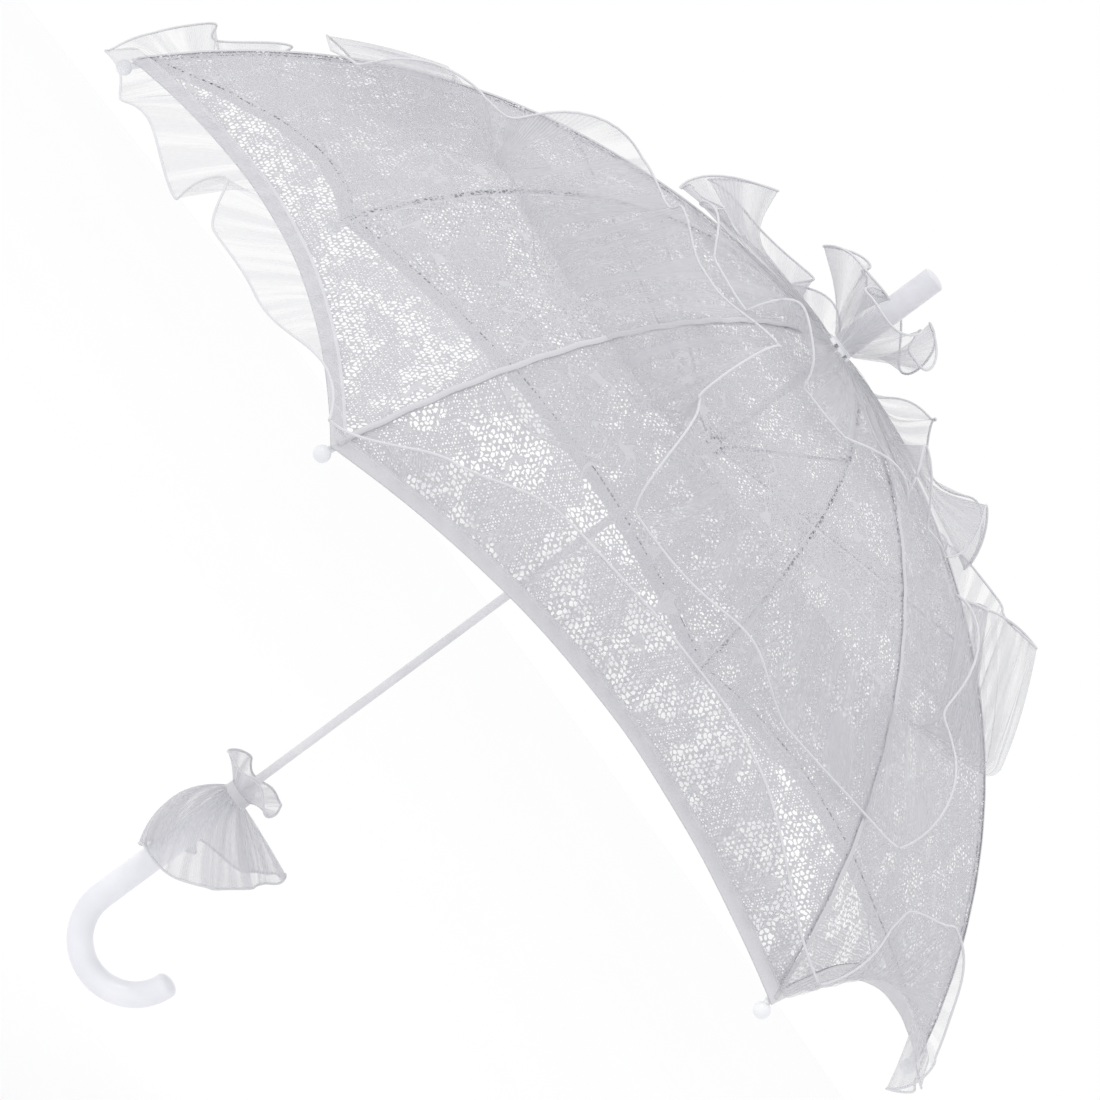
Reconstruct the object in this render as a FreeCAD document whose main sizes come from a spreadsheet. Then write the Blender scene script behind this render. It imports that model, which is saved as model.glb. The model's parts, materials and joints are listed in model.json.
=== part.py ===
import FreeCAD, Part
import math
import os

from FreeCAD import Placement, Rotation, Vector

# Lace parasol, open, standing upright.  Millimetres.
# Origin: middle of the straight grip, on the shaft's axis.  +Z runs up the shaft to the
# ferrule, and the crook of the handle bends towards +X.

RIBS = 6
SECTOR = 360.0 / RIBS
HALF_SECTOR = math.radians(SECTOR / 2)
FIRST_RIB = 12.3     # azimuth of rib 1, degrees from +X
CATCH_AZIMUTH = FIRST_RIB + 1.5 * SECTOR

DRIVING = {
    "shaft_dia": 5.6,
    "shaft_bore": 4.6,
    "crown_level": 506.0,
    "ferrule_dia": 16.0,
    "ferrule_rise": 76.0,
    "ferrule_socket": 30.0,
    "ferrule_dome": 3.0,
    "grip_dia": 16.5,
    "grip_length": 114.0,
    "grip_socket": 45.0,
    "hook_bend": 34.0,
    "hook_sweep": 178.0,
    "hook_end_dome": 5.0,
    "notch_dia": 18.0,
    "notch_height": 8.0,
    "pivot_ring": 7.0,
    "wire_dia": 1.0,
    "eye_dia": 3.4,
    "eye_hole": 1.3,
    "rib_dia": 2.4,
    "stretcher_dia": 2.2,
    "rib_slope": 2.0,
    "inner_bend": 502.0,
    "inner_turn": 22.8,
    "outer_bend": 415.0,
    "outer_turn": 37.4,
    "boss_dia": 4.0,
    "pin_dia": 1.2,
    "pin_length": 5.8,
    "cheek_gap": 2.8,
    "cheek_thickness": 1.2,
    "cheek_length": 10.5,
    "fork_web": 3.0,
    "tip_ball_dia": 10.0,
    "tip_ball_centre": 5.2,
    "tip_neck_dia": 4.2,
    "tip_neck_length": 5.0,
    "sleeve_dia": 8.8,
    "sleeve_bore": 6.0,
    "sleeve_length": 32.0,
    "sleeve_lip_dia": 10.0,
    "sleeve_lip_height": 3.0,
    "window_height": 14.0,
    "window_width": 2.6,
    "catch_width": 2.0,
    "catch_height": 12.0,
    "catch_nose": 5.0,
    "catch_heel": 2.2,
    "catch_root": 0.6,
    "catch_slot": 2.4,
    "cloth_clearance": 2.2,
    "cloth_thickness": 0.8,
    "panel_start": 10.5,
    "hem_rise": 34.0,
    "mid_ruffle_radius": 272.0,
    "mid_ruffle_height": 45.0,
    "hem_ruffle_width": 38.0,
    "ruffle_sheet": 1.0,
    "band_thickness": 1.0,
    "band_height": 6.0,
    "band_inset": 10.0,
}

RUNNING_GAP = 0.3
SEAM_GAP = 0.4
STITCH_GAP = 0.6      # between the cloth and a ruffle that is sewn to it
SLOT_WIDTH = 3.0
SLOT_FLOOR = 5.0
BEAD = 0.6
WINDOW_RISE = 6.0     # foot of the runner's window over the foot of its sleeve
CLOSED_SLOPE = 85.0   # slope of a closed inner rib, degrees

# Gathered strips: how far the waves swing, how many there are and how tall the strip is.
MID_WAVES = {"swing": 9.0, "waves": 4}
HEM_WAVES = {"swing": 10.0, "waves": 6}
CROWN_COLLAR = {"radius": 26.0, "swing": 9.0, "waves": 7, "height": 26.0}
HANDLE_COLLAR = {"radius": 34.0, "swing": 9.0, "waves": 6, "height": 40.0}


def rib_geometry(size):
    """Pivot, elbow and tip of a rib in its own upright plane: (distance out, height)."""
    slope = math.radians(size["rib_slope"])
    turn_in = math.radians(size["inner_turn"])
    turn_out = math.radians(size["outer_turn"])
    pivot = (size["pivot_ring"], 0.0)
    inner_centre = (pivot[0] - size["inner_bend"] * math.sin(slope),
                    pivot[1] - size["inner_bend"] * math.cos(slope))
    elbow = on_arc(inner_centre, size["inner_bend"], slope + turn_in)
    outer_centre = (elbow[0] - size["outer_bend"] * math.sin(slope + turn_in),
                    elbow[1] - size["outer_bend"] * math.cos(slope + turn_in))
    tip = on_arc(outer_centre, size["outer_bend"], slope + turn_in + turn_out)
    return {"pivot": pivot, "elbow": elbow, "tip": tip, "slope": slope,
            "turn_in": turn_in, "turn_out": turn_out,
            "inner_centre": inner_centre, "outer_centre": outer_centre}


def on_arc(centre, radius, angle):
    """Point of an arc that runs over the top of its centre, by its slope angle."""
    return (centre[0] + radius * math.sin(angle), centre[1] + radius * math.cos(angle))


def circle_through(first, second, third):
    """Centre and radius of the circle through three points of a plane."""
    ax, az = first
    bx, bz = second
    cx, cz = third
    twice = 2 * (ax * (bz - cz) + bx * (cz - az) + cx * (az - bz))
    a2 = ax * ax + az * az
    b2 = bx * bx + bz * bz
    c2 = cx * cx + cz * cz
    x = (a2 * (bz - cz) + b2 * (cz - az) + c2 * (az - bz)) / twice
    z = (a2 * (cx - bx) + b2 * (ax - cx) + c2 * (bx - ax)) / twice
    return (x, z), math.hypot(ax - x, az - z)


def panel_arc(centre, radius, start, turn):
    """The rib's arc seen square to a panel: narrowed by the half sector, as one arc."""
    ends = []
    for share in (0.0, 0.5, 1.0):
        out, height = on_arc(centre, radius, start + share * turn)
        ends.append((out * math.cos(HALF_SECTOR), height))
    middle, bend = circle_through(*ends)
    return {"centre": middle, "bend": bend, "start": slope_at(middle, ends[0]),
            "end": slope_at(middle, ends[2])}


def slope_at(centre, point):
    return math.atan2(point[0] - centre[0], point[1] - centre[1])


DERIVED = dict(DRIVING)
RIB = rib_geometry(DRIVING)
INNER_ARC = panel_arc(RIB["inner_centre"], DRIVING["inner_bend"], RIB["slope"], RIB["turn_in"])
OUTER_ARC = panel_arc(RIB["outer_centre"], DRIVING["outer_bend"],
                      RIB["slope"] + RIB["turn_in"], RIB["turn_out"])
# The linkage is isosceles: the stretcher is as long as the rib from its pivot to its elbow.
STRETCHER = math.hypot(RIB["elbow"][0] - RIB["pivot"][0], RIB["elbow"][1])
RUNNER_DROP = -2 * RIB["elbow"][1]
DERIVED["stretcher_length"] = STRETCHER
DERIVED["runner_drop"] = RUNNER_DROP
DERIVED["inner_panel_bend"] = INNER_ARC["bend"]
DERIVED["outer_panel_bend"] = OUTER_ARC["bend"]
DERIVED["hem_half_width"] = RIB["tip"][0] * math.sin(HALF_SECTOR)
DERIVED["scallop_bend"] = (DERIVED["hem_half_width"] ** 2 + DRIVING["hem_rise"] ** 2) \
    / (2 * DRIVING["hem_rise"])

doc = FreeCAD.newDocument("parasol")
sheet = doc.addObject("Spreadsheet::Sheet", "dims")
for row, (alias, number) in enumerate(DERIVED.items(), start=1):
    sheet.set("A%d" % row, alias)
    sheet.set("B%d" % row, repr(round(number, 6)))
    sheet.setAlias("B%d" % row, alias)
doc.recompute()

finished = []


def dim(alias):
    return float(sheet.get(alias))


def spin(azimuth, height=0.0):
    """Placement that turns a piece built in the XZ plane round the shaft and lifts it."""
    return Placement(Vector(0, 0, height), Rotation(Vector(0, 0, 1), azimuth))


def across(x, y, z):
    """Placement whose own Z lies along +Y: for pins and eyes that lie across a rib."""
    return Placement(Vector(x, y, z), Rotation(Vector(1, 0, 0), -90))


def over_arc(centre, slope):
    """Placement of an arc about a centre in the XZ plane that starts at a slope angle."""
    outward = Vector(math.sin(slope), 0, math.cos(slope))
    forward = Vector(math.cos(slope), 0, -math.sin(slope))
    turned = Rotation(outward, forward, Vector(0, 1, 0), "XYZ")
    return Placement(Vector(centre[0], 0, centre[1]), turned)


def primitive(kind, name, place, **sizes):
    """A Part primitive whose sizes are expressions on the sheet, or plain numbers."""
    item = doc.addObject("Part::" + kind, name)
    for key, value in sizes.items():
        if isinstance(value, str):
            item.setExpression(key, value)
        else:
            setattr(item, key, value)
    item.Placement = place
    return item


def fused(name, pieces):
    item = doc.addObject("Part::MultiFuse", name)
    item.Shapes = pieces
    item.Refine = True
    return item


def cut(name, base, tool):
    item = doc.addObject("Part::Cut", name)
    item.Base = base
    item.Tool = tool
    return item


def finish(item, node):
    """Name a finished sub-part: its label is the name of its file."""
    item.Label = node
    finished.append(item)


def made(shape, node, place=Placement()):
    """A sub-part whose shape no primitive can make, such as a wavy strip of cloth."""
    item = doc.addObject("Part::Feature", node)
    item.Shape = shape
    item.Placement = place
    finished.append(item)


def build_shaft():
    """Steel tube from inside the ferrule to inside the grip, with a slot for each catch."""
    low = dim("grip_length") / 2 - dim("grip_socket")
    high = dim("crown_level") + dim("ferrule_socket")
    at_low = spin(0, low)
    tube = primitive("Cylinder", "shaft_tube", at_low, Radius="dims.shaft_dia / 2",
                     Height=high - low)
    bead = primitive("Torus", "shaft_bead", spin(0, runner_level() + dim("notch_height") / 2 + 2),
                     Radius1="dims.shaft_dia / 2 - 0.2", Radius2=BEAD)
    bore = primitive("Cylinder", "shaft_hollow", at_low, Radius="dims.shaft_bore / 2",
                     Height=high - low)
    tools = [bore]
    for level in (upper_catch_level() - dim("catch_height"), lower_catch_level()):
        slot_place = spin(CATCH_AZIMUTH, level - 1) \
            * Placement(Vector(0, -dim("catch_slot") / 2, 0), Rotation())
        tools.append(primitive("Box", "shaft_slot", slot_place, Length=dim("shaft_dia"),
                               Width="dims.catch_slot", Height="dims.catch_height + 2"))
    finish(cut("shaft_cut", fused("shaft_solid", [tube, bead]), fused("shaft_tools", tools)),
           "shaft")


def runner_level():
    return dim("crown_level") - dim("runner_drop")


def closed_drop():
    """How far below the crown the runner's ring is when the ribs hang along the shaft."""
    return 2 * dim("stretcher_length") * math.sin(math.radians(CLOSED_SLOPE))


def upper_catch_level():
    """Top of the upper catch: just under the open runner's sleeve."""
    return runner_level() - dim("notch_height") / 2 - dim("sleeve_length") - RUNNING_GAP


def lower_catch_level():
    """Flat foot of the lower catch: just over the lower edge of the closed runner's window."""
    closed = dim("crown_level") - closed_drop()
    return closed + window_foot() + RUNNING_GAP


def window_foot():
    return -dim("notch_height") / 2 - dim("sleeve_length") + WINDOW_RISE


def build_handle():
    """Straight grip and crook, with a blind socket for the shaft."""
    half = dim("grip_length") / 2
    grip = primitive("Cylinder", "grip", spin(0, -half), Radius="dims.grip_dia / 2",
                     Height="dims.grip_length")
    # The crook starts on the shaft's axis below the grip and turns towards +X.
    start = Rotation(Vector(-1, 0, 0), Vector(0, 0, -1), Vector(0, -1, 0), "XYZ")
    bend_centre = Vector(dim("hook_bend"), 0, -half)
    crook = primitive("Torus", "crook", Placement(bend_centre, start),
                      Radius1="dims.hook_bend", Radius2="dims.grip_dia / 2",
                      Angle3="dims.hook_sweep")
    sweep = math.radians(dim("hook_sweep"))
    along = Vector(math.sin(sweep), 0, -math.cos(sweep))
    outward = Vector(-math.cos(sweep), 0, -math.sin(sweep))
    end_place = Placement(bend_centre + outward * dim("hook_bend"),
                          Rotation(outward, Vector(0, 0, 0), along, "ZXY"))
    dome = primitive("Ellipsoid", "crook_end", end_place, Radius1="dims.hook_end_dome",
                     Radius2="dims.grip_dia / 2", Radius3="dims.grip_dia / 2")
    socket = primitive("Cylinder", "grip_bore", spin(0, half - dim("grip_socket")),
                       Radius="dims.shaft_dia / 2", Height="dims.grip_socket + 1")
    finish(cut("handle_cut", fused("handle_solid", [grip, crook, dome]), socket), "handle")


def build_ferrule():
    """Long round stick that caps the crown, bored for the shaft."""
    base = dim("crown_level") + dim("notch_height") / 2
    top = dim("crown_level") + dim("ferrule_rise")
    dome_height = dim("ferrule_dome")
    stick = primitive("Cylinder", "ferrule_stick", spin(0, base), Radius="dims.ferrule_dia / 2",
                      Height=top - dome_height - base)
    dome = primitive("Ellipsoid", "ferrule_dome", spin(0, top - dome_height),
                     Radius1=dome_height, Radius2="dims.ferrule_dia / 2",
                     Radius3="dims.ferrule_dia / 2", Angle1=0.0)
    bore = primitive("Cylinder", "ferrule_bore", spin(0, base - 1), Radius="dims.shaft_dia / 2",
                     Height=dim("ferrule_socket") - dim("notch_height") / 2 + 1)
    finish(cut("ferrule_cut", fused("ferrule_solid", [stick, dome]), bore), "ferrule")


def slotted_ring(name, level):
    """The six-slotted crown that a wire ring threads: used by the notch and the runner."""
    half = dim("notch_height") / 2
    body = primitive("Cylinder", name + "_body", spin(0, level - half),
                     Radius="dims.notch_dia / 2", Height="dims.notch_height")
    tools = []
    for k in range(RIBS):
        slot = spin(FIRST_RIB + k * SECTOR, level - half - 1) \
            * Placement(Vector(SLOT_FLOOR, -SLOT_WIDTH / 2, 0), Rotation())
        tools.append(primitive("Box", name + "_slot", slot, Length="dims.notch_dia",
                               Width=SLOT_WIDTH, Height="dims.notch_height + 2"))
    tools.append(primitive("Torus", name + "_groove", spin(0, level),
                           Radius1="dims.pivot_ring", Radius2="dims.wire_dia / 2 + 0.05"))
    return body, tools


def build_notch():
    """Top notch: fixed to the shaft, it holds the inner eye of every rib."""
    level = dim("crown_level")
    body, tools = slotted_ring("notch", level)
    tools.append(primitive("Cylinder", "notch_bore", spin(0, level - dim("notch_height")),
                           Radius="dims.shaft_dia / 2", Height="2 * dims.notch_height"))
    finish(cut("notch_cut", body, fused("notch_tools", tools)), "top_notch")
    finish(primitive("Torus", "notch_ring", spin(0, level), Radius1="dims.pivot_ring",
                     Radius2="dims.wire_dia / 2"), "notch_wire")


def build_runner():
    """Runner: slides on the shaft, its crown holds the lower eye of every stretcher."""
    level = runner_level()
    half = dim("notch_height") / 2
    body, tools = slotted_ring("runner", level)
    foot = level - half - dim("sleeve_length")
    sleeve = primitive("Cylinder", "runner_sleeve", spin(0, foot), Radius="dims.sleeve_dia / 2",
                       Height="dims.sleeve_length")
    lip = primitive("Cylinder", "runner_lip", spin(0, foot), Radius="dims.sleeve_lip_dia / 2",
                    Height="dims.sleeve_lip_height")
    bore = primitive("Cylinder", "runner_bore", spin(0, foot - 1), Radius="dims.sleeve_bore / 2",
                     Height=dim("sleeve_length") + 2 * half + 2)
    window = spin(CATCH_AZIMUTH, level + window_foot()) \
        * Placement(Vector(0, -dim("window_width") / 2, 0), Rotation())
    opening = primitive("Box", "runner_window", window, Length="dims.sleeve_dia",
                        Width="dims.window_width", Height="dims.window_height")
    crown = cut("runner_crown", body, fused("runner_slots", tools))
    shell = fused("runner_shell", [crown, sleeve, lip])
    finish(cut("runner_cut", shell, fused("runner_tools", [bore, opening])), "runner")
    finish(primitive("Torus", "runner_ring", spin(0, level), Radius1="dims.pivot_ring",
                     Radius2="dims.wire_dia / 2"), "runner_wire")


def catch_shape(flat_on_top):
    """Leaf catch: a wedge with one square face that the runner bears on."""
    tall = dim("catch_height")
    nose = dim("catch_nose")
    root = dim("catch_root")
    heel = dim("catch_heel")
    outline = [(root, 0), (heel, 0), (nose, tall), (root, tall)]
    if not flat_on_top:
        outline = [(root, 0), (nose, 0), (heel, tall), (root, tall)]
    half = dim("catch_width") / 2
    corners = [Vector(x, -half, z) for x, z in outline]
    wire = Part.makePolygon(corners + corners[:1])
    return Part.Face(wire).extrude(Vector(0, 2 * half, 0))


def build_catches():
    """The two spring catches that hold the runner, one where it is open, one where closed."""
    made(catch_shape(True), "upper_catch",
         spin(CATCH_AZIMUTH, upper_catch_level() - dim("catch_height")))
    made(catch_shape(False), "lower_catch", spin(CATCH_AZIMUTH, lower_catch_level()))


def build_rib(k):
    """Rib k: inner span with its eye, elbow boss and rivet; outer span; ball tip."""
    frame = spin(FIRST_RIB + k * SECTOR, dim("crown_level"))
    wide = dim("rib_dia")
    number = k + 1
    px, pz = RIB["pivot"]
    ex, ez = RIB["elbow"]
    tx, tz = RIB["tip"]
    rod = primitive("Torus", "rib_rod", frame * over_arc(RIB["inner_centre"], RIB["slope"]),
                    Radius1="dims.inner_bend", Radius2="dims.rib_dia / 2",
                    Angle3="dims.inner_turn")
    eye = primitive("Cylinder", "rib_eye", frame * across(px, -wide / 2, pz),
                    Radius="dims.eye_dia / 2", Height="dims.rib_dia")
    boss = primitive("Cylinder", "rib_boss", frame * across(ex, -wide / 2, ez),
                     Radius="dims.boss_dia / 2", Height="dims.rib_dia")
    rivet = primitive("Cylinder", "rib_rivet", frame * across(ex, -dim("pin_length") / 2, ez),
                      Radius="dims.pin_dia / 2", Height="dims.pin_length")
    hole = primitive("Cylinder", "rib_hole", frame * across(px, -wide, pz),
                     Radius="dims.eye_hole / 2", Height="2 * dims.rib_dia")
    finish(cut("rib_cut", fused("rib_solid", [rod, eye, boss, rivet]), hole), "rib_%d" % number)

    gap = (dim("boss_dia") / 2 + RUNNING_GAP) / dim("outer_bend")
    start = RIB["slope"] + RIB["turn_in"] + gap
    outer = primitive("Torus", "rib_outer", frame * over_arc(RIB["outer_centre"], start),
                      Radius1="dims.outer_bend", Radius2="dims.rib_dia / 2",
                      Angle3="dims.outer_turn - %.6f" % math.degrees(gap))
    finish(outer, "rib_end_%d" % number)

    slope = RIB["slope"] + RIB["turn_in"] + RIB["turn_out"]
    along = Vector(math.cos(slope), 0, -math.sin(slope))
    aim = Rotation(Vector(0, 0, 1), along)
    tip = Vector(tx, 0, tz)
    ball_centre = tip + along * dim("tip_ball_centre")
    ball = primitive("Sphere", "tip_ball", frame * Placement(ball_centre, aim),
                     Radius="dims.tip_ball_dia / 2")
    neck_foot = tip - along * dim("tip_neck_length")
    neck = primitive("Cylinder", "tip_neck", frame * Placement(neck_foot, aim),
                     Radius="dims.tip_neck_dia / 2",
                     Height="dims.tip_neck_length + dims.tip_ball_centre")
    bore = primitive("Cylinder", "tip_bore", frame * Placement(neck_foot - along, aim),
                     Radius="dims.rib_dia / 2 + 0.04", Height="dims.tip_neck_length + 1.02")
    finish(cut("tip_cut", fused("tip_solid", [ball, neck]), bore), "rib_tip_%d" % number)


def build_stretcher(k):
    """Stretcher k: a rod with an eye for the runner's ring and a fork for the rib's rivet."""
    frame = spin(FIRST_RIB + k * SECTOR, dim("crown_level"))
    ex, ez = RIB["elbow"]
    foot = Vector(RIB["pivot"][0], 0, -dim("runner_drop"))
    along = (Vector(ex, 0, ez) - foot).normalize()
    # Own frame: X along the stretcher from the ring, Y across it, Z over it.
    base = frame * Placement(foot, Rotation(along, Vector(0, 1, 0), Vector(0, 0, 0), "XYZ"))
    length = dim("stretcher_length")
    wide = dim("rib_dia")
    cheek = dim("cheek_length")
    web = dim("fork_web")
    outside = dim("cheek_gap") / 2 + dim("cheek_thickness")
    lie = Placement(Vector(0, 0, 0), Rotation(Vector(0, 0, 1), Vector(1, 0, 0)))
    rod = primitive("Cylinder", "stretcher_rod", base * lie, Radius="dims.stretcher_dia / 2",
                    Height=length - cheek + web / 2)
    eye = primitive("Cylinder", "stretcher_eye", base * across(0, -wide / 2, 0),
                    Radius="dims.eye_dia / 2", Height="dims.rib_dia")
    corner = Placement(Vector(length - cheek, -outside, -wide / 2), Rotation())
    block = primitive("Box", "stretcher_web", base * corner, Length="dims.fork_web",
                      Width=2 * outside, Height="dims.rib_dia")
    pieces = [rod, eye, block]
    for side in (-outside, outside - dim("cheek_thickness")):
        corner = Placement(Vector(length - cheek, side, -wide / 2), Rotation())
        pieces.append(primitive("Box", "stretcher_cheek", base * corner,
                                Length="dims.cheek_length", Width="dims.cheek_thickness",
                                Height="dims.rib_dia"))
        pieces.append(primitive("Cylinder", "stretcher_ear", base * across(length, side, 0),
                                Radius="dims.eye_dia / 2", Height="dims.cheek_thickness"))
    holes = [primitive("Cylinder", "stretcher_hole", base * across(0, -wide, 0),
                       Radius="dims.eye_hole / 2", Height="2 * dims.rib_dia"),
             primitive("Cylinder", "stretcher_bore", base * across(length, -2 * outside, 0),
                       Radius="dims.eye_hole / 2", Height=4 * outside)]
    finish(cut("stretcher_cut", fused("stretcher_solid", pieces), fused("stretcher_tools", holes)),
           "stretcher_%d" % (k + 1))


def cloth_shell(frame, arc, bend_cell, first, last, half_width):
    """Curved sheet of cloth that is straight from rib to rib, before its sides are cut."""
    place = frame * over_arc(arc["centre"], first) * Placement(Vector(0, 0, -half_width), Rotation())
    turn = math.degrees(last - first)
    outside = primitive("Cylinder", "cloth_outside", place, Angle=turn, Height=2 * half_width,
                        Radius="dims.%s + dims.cloth_clearance + dims.cloth_thickness" % bend_cell)
    inside = primitive("Cylinder", "cloth_inside", place, Angle=360.0, Height=2 * half_width,
                       Radius="dims.%s + dims.cloth_clearance" % bend_cell)
    return cut("cloth_shell", outside, inside)


def side_cutters(frame, reach):
    """Two blocks that cut a panel off along the upright planes of its two ribs."""
    blocks = []
    deep = 2 * reach
    for side in (-1, 1):
        near = -SEAM_GAP if side > 0 else SEAM_GAP - deep
        corner = spin(side * SECTOR / 2) * Placement(Vector(-deep, near, -deep), Rotation())
        blocks.append(primitive("Box", "cloth_side", frame * corner, Length=3 * deep,
                                Width=deep, Height=2 * deep))
    return fused("cloth_sides", blocks)


def hem_direction():
    """Down the cloth and out of the cloth at the hem."""
    slope = OUTER_ARC["end"]
    return (Vector(math.cos(slope), 0, -math.sin(slope)),
            Vector(math.sin(slope), 0, math.cos(slope)))


def scallop(frame, shift):
    """Round cutter whose edge runs from rib tip to rib tip, bowed up towards the crown."""
    down, out = hem_direction()
    hem = Vector(RIB["tip"][0] * math.cos(HALF_SECTOR), 0, RIB["tip"][1])
    reach = dim("hem_half_width") / 2
    centre = hem + down * (dim("scallop_bend") - dim("hem_rise") + shift) - out * reach
    side = Vector(0, 1, 0)
    turned = Rotation(side.cross(out), side, out, "ZXY")
    return primitive("Cylinder", "scallop", frame * Placement(centre, turned),
                     Radius="dims.scallop_bend", Height=2 * reach)


def build_panel(k):
    """Panel k between ribs k and k+1: inner part, and outer part with a scalloped hem."""
    frame = spin(FIRST_RIB + (k + 0.5) * SECTOR, dim("crown_level"))
    number = k + 1
    lift = dim("cloth_clearance")
    begin = math.asin((dim("panel_start") - INNER_ARC["centre"][0]) / (INNER_ARC["bend"] + lift))
    half = RIB["elbow"][0] * math.sin(HALF_SECTOR) + 20
    seam = SEAM_GAP / dim("outer_bend")
    inner = cloth_shell(frame, INNER_ARC, "inner_panel_bend", begin, INNER_ARC["end"] - seam, half)
    finish(cut("panel_cut", inner, side_cutters(frame, half)), "panel_%d" % number)

    half = dim("hem_half_width") + 20
    outer = cloth_shell(frame, OUTER_ARC, "outer_panel_bend", OUTER_ARC["start"] + seam,
                        OUTER_ARC["end"], half)
    tools = fused("hem_tools", [side_cutters(frame, half), scallop(frame, 0.0)])
    finish(cut("hem_cut", outer, tools), "panel_end_%d" % number)


def wave_face(half_length, thickness, swing, waves):
    """Thin wavy band in the XY plane: X along the band, Y across its waves."""
    steps = 8 * waves
    line = []
    for step in range(steps + 1):
        share = step / steps
        x = half_length * (2 * share - 1)
        line.append((x, swing * math.sin(2 * math.pi * waves * share)))
    edges = []
    for side in (-0.5, 0.5):
        curve = Part.BSplineCurve()
        curve.interpolate([Vector(x, y + side * thickness, 0) for x, y in line])
        edges.append(curve.toShape())
    first, second = edges
    caps = [Part.makeLine(first.Vertexes[0].Point, second.Vertexes[0].Point),
            Part.makeLine(first.Vertexes[-1].Point, second.Vertexes[-1].Point)]
    return Part.Face(Part.Wire(Part.__sortEdges__([first, second] + caps)))


def build_ruffles(k):
    """The two gathered strips sewn to panel k: one round its middle, one along its hem."""
    frame = spin(FIRST_RIB + (k + 0.5) * SECTOR, dim("crown_level"))
    number = k + 1
    thickness = dim("ruffle_sheet")
    centre = OUTER_ARC["centre"]
    face_radius = OUTER_ARC["bend"] + dim("cloth_clearance") + dim("cloth_thickness")
    out_at = dim("mid_ruffle_radius") * math.cos(HALF_SECTOR)
    slope = math.asin((out_at - centre[0]) / face_radius)
    down = Vector(math.cos(slope), 0, -math.sin(slope))
    out = Vector(math.sin(slope), 0, math.cos(slope))
    half = dim("mid_ruffle_radius") * math.sin(HALF_SECTOR) - 8
    strip = wave_face(half, thickness, **MID_WAVES)
    foot = Vector(centre[0], 0, centre[1]) + out * (face_radius + STITCH_GAP)
    upright = Placement(foot, Rotation(Vector(0, 1, 0), down, out, "ZXY"))
    solid = strip.extrude(Vector(0, 0, dim("mid_ruffle_height")))
    made(solid, "mid_ruffle_%d" % number, frame * upright)

    down, out = hem_direction()
    hem = Vector(RIB["tip"][0] * math.cos(HALF_SECTOR), 0, RIB["tip"][1])
    half = dim("hem_half_width") - 12
    strip = wave_face(half, thickness, **HEM_WAVES)
    wide = dim("hem_ruffle_width")
    rise = dim("hem_rise")
    lift = dim("cloth_clearance") + SEAM_GAP
    lying = Placement(hem - down * 2 * rise + out * lift,
                      Rotation(Vector(0, 1, 0), out, down, "ZXY"))
    solid = strip.extrude(Vector(0, 0, 3 * rise + wide))
    solid.Placement = frame * lying
    keep = scallop(frame, 2 * SEAM_GAP)
    drop = scallop(frame, wide)
    doc.recompute()
    solid = solid.common(keep.Shape).cut(drop.Shape)
    made(solid, "hem_ruffle_%d" % number)


def wavy_collar(thickness, radius, swing, waves, height):
    """Thin-walled wavy tube: a gathered strip sewn in a ring."""
    steps = 8 * waves
    walls = []
    for side in (-0.5, 0.5):
        points = []
        for step in range(steps):
            angle = 2 * math.pi * step / steps
            out = radius + side * thickness + swing * math.sin(waves * angle)
            points.append(Vector(out * math.cos(angle), out * math.sin(angle), 0))
        curve = Part.BSplineCurve()
        curve.interpolate(points, PeriodicFlag=True)
        face = Part.Face(Part.Wire(curve.toShape()))
        walls.append(face.extrude(Vector(0, 0, height)))
    inside, outside = walls
    return outside.cut(inside)


def build_frills():
    """Ring of ruffle round the ferrule, frill round the top of the grip, and its band."""
    thickness = dim("ruffle_sheet")
    made(wavy_collar(thickness, **CROWN_COLLAR), "crown_ruffle",
         spin(0, dim("crown_level") + dim("notch_height") - 1))
    top = dim("grip_length") / 2
    made(wavy_collar(thickness, **HANDLE_COLLAR), "handle_frill",
         spin(0, top - HANDLE_COLLAR["height"]))
    level = spin(0, top - dim("band_inset"))
    ring = primitive("Cylinder", "band_ring", level,
                     Radius="dims.grip_dia / 2 + dims.band_thickness", Height="dims.band_height")
    hole = primitive("Cylinder", "band_hole", level, Radius="dims.grip_dia / 2",
                     Height="dims.band_height")
    finish(cut("band_cut", ring, hole), "frill_band")


build_shaft()
build_handle()
build_ferrule()
build_notch()
build_runner()
build_catches()
for index in range(RIBS):
    build_rib(index)
    build_stretcher(index)
    build_panel(index)
    build_ruffles(index)
build_frills()
doc.recompute()

for item in doc.Objects:
    broken = {"Invalid", "Error"} & set(item.State)
    if broken:
        raise RuntimeError("%s is %s" % (item.Label, sorted(broken)))
for item in finished:
    if item.Shape.isNull() or not item.Shape.isValid():
        raise RuntimeError("%s has no valid shape" % item.Label)

os.makedirs("parts", exist_ok=True)
for item in finished:
    item.Shape.exportStep("parts/%s.step" % item.Label)
print("nodes", len(finished))
for name in ("pivot", "elbow", "tip"):
    print(name, [round(value, 3) for value in RIB[name]])
print("stretcher", round(STRETCHER, 3), "runner drop", round(RUNNER_DROP, 3),
      "closed drop", round(closed_drop(), 3))
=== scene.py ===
"""Looks of the lace parasol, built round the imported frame.

Metres, in the frame of the row: +Z runs up the shaft, and the six ribs fan out from the crown.
"""
import json
import math

import bpy
from mathutils import Matrix, Vector


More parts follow.
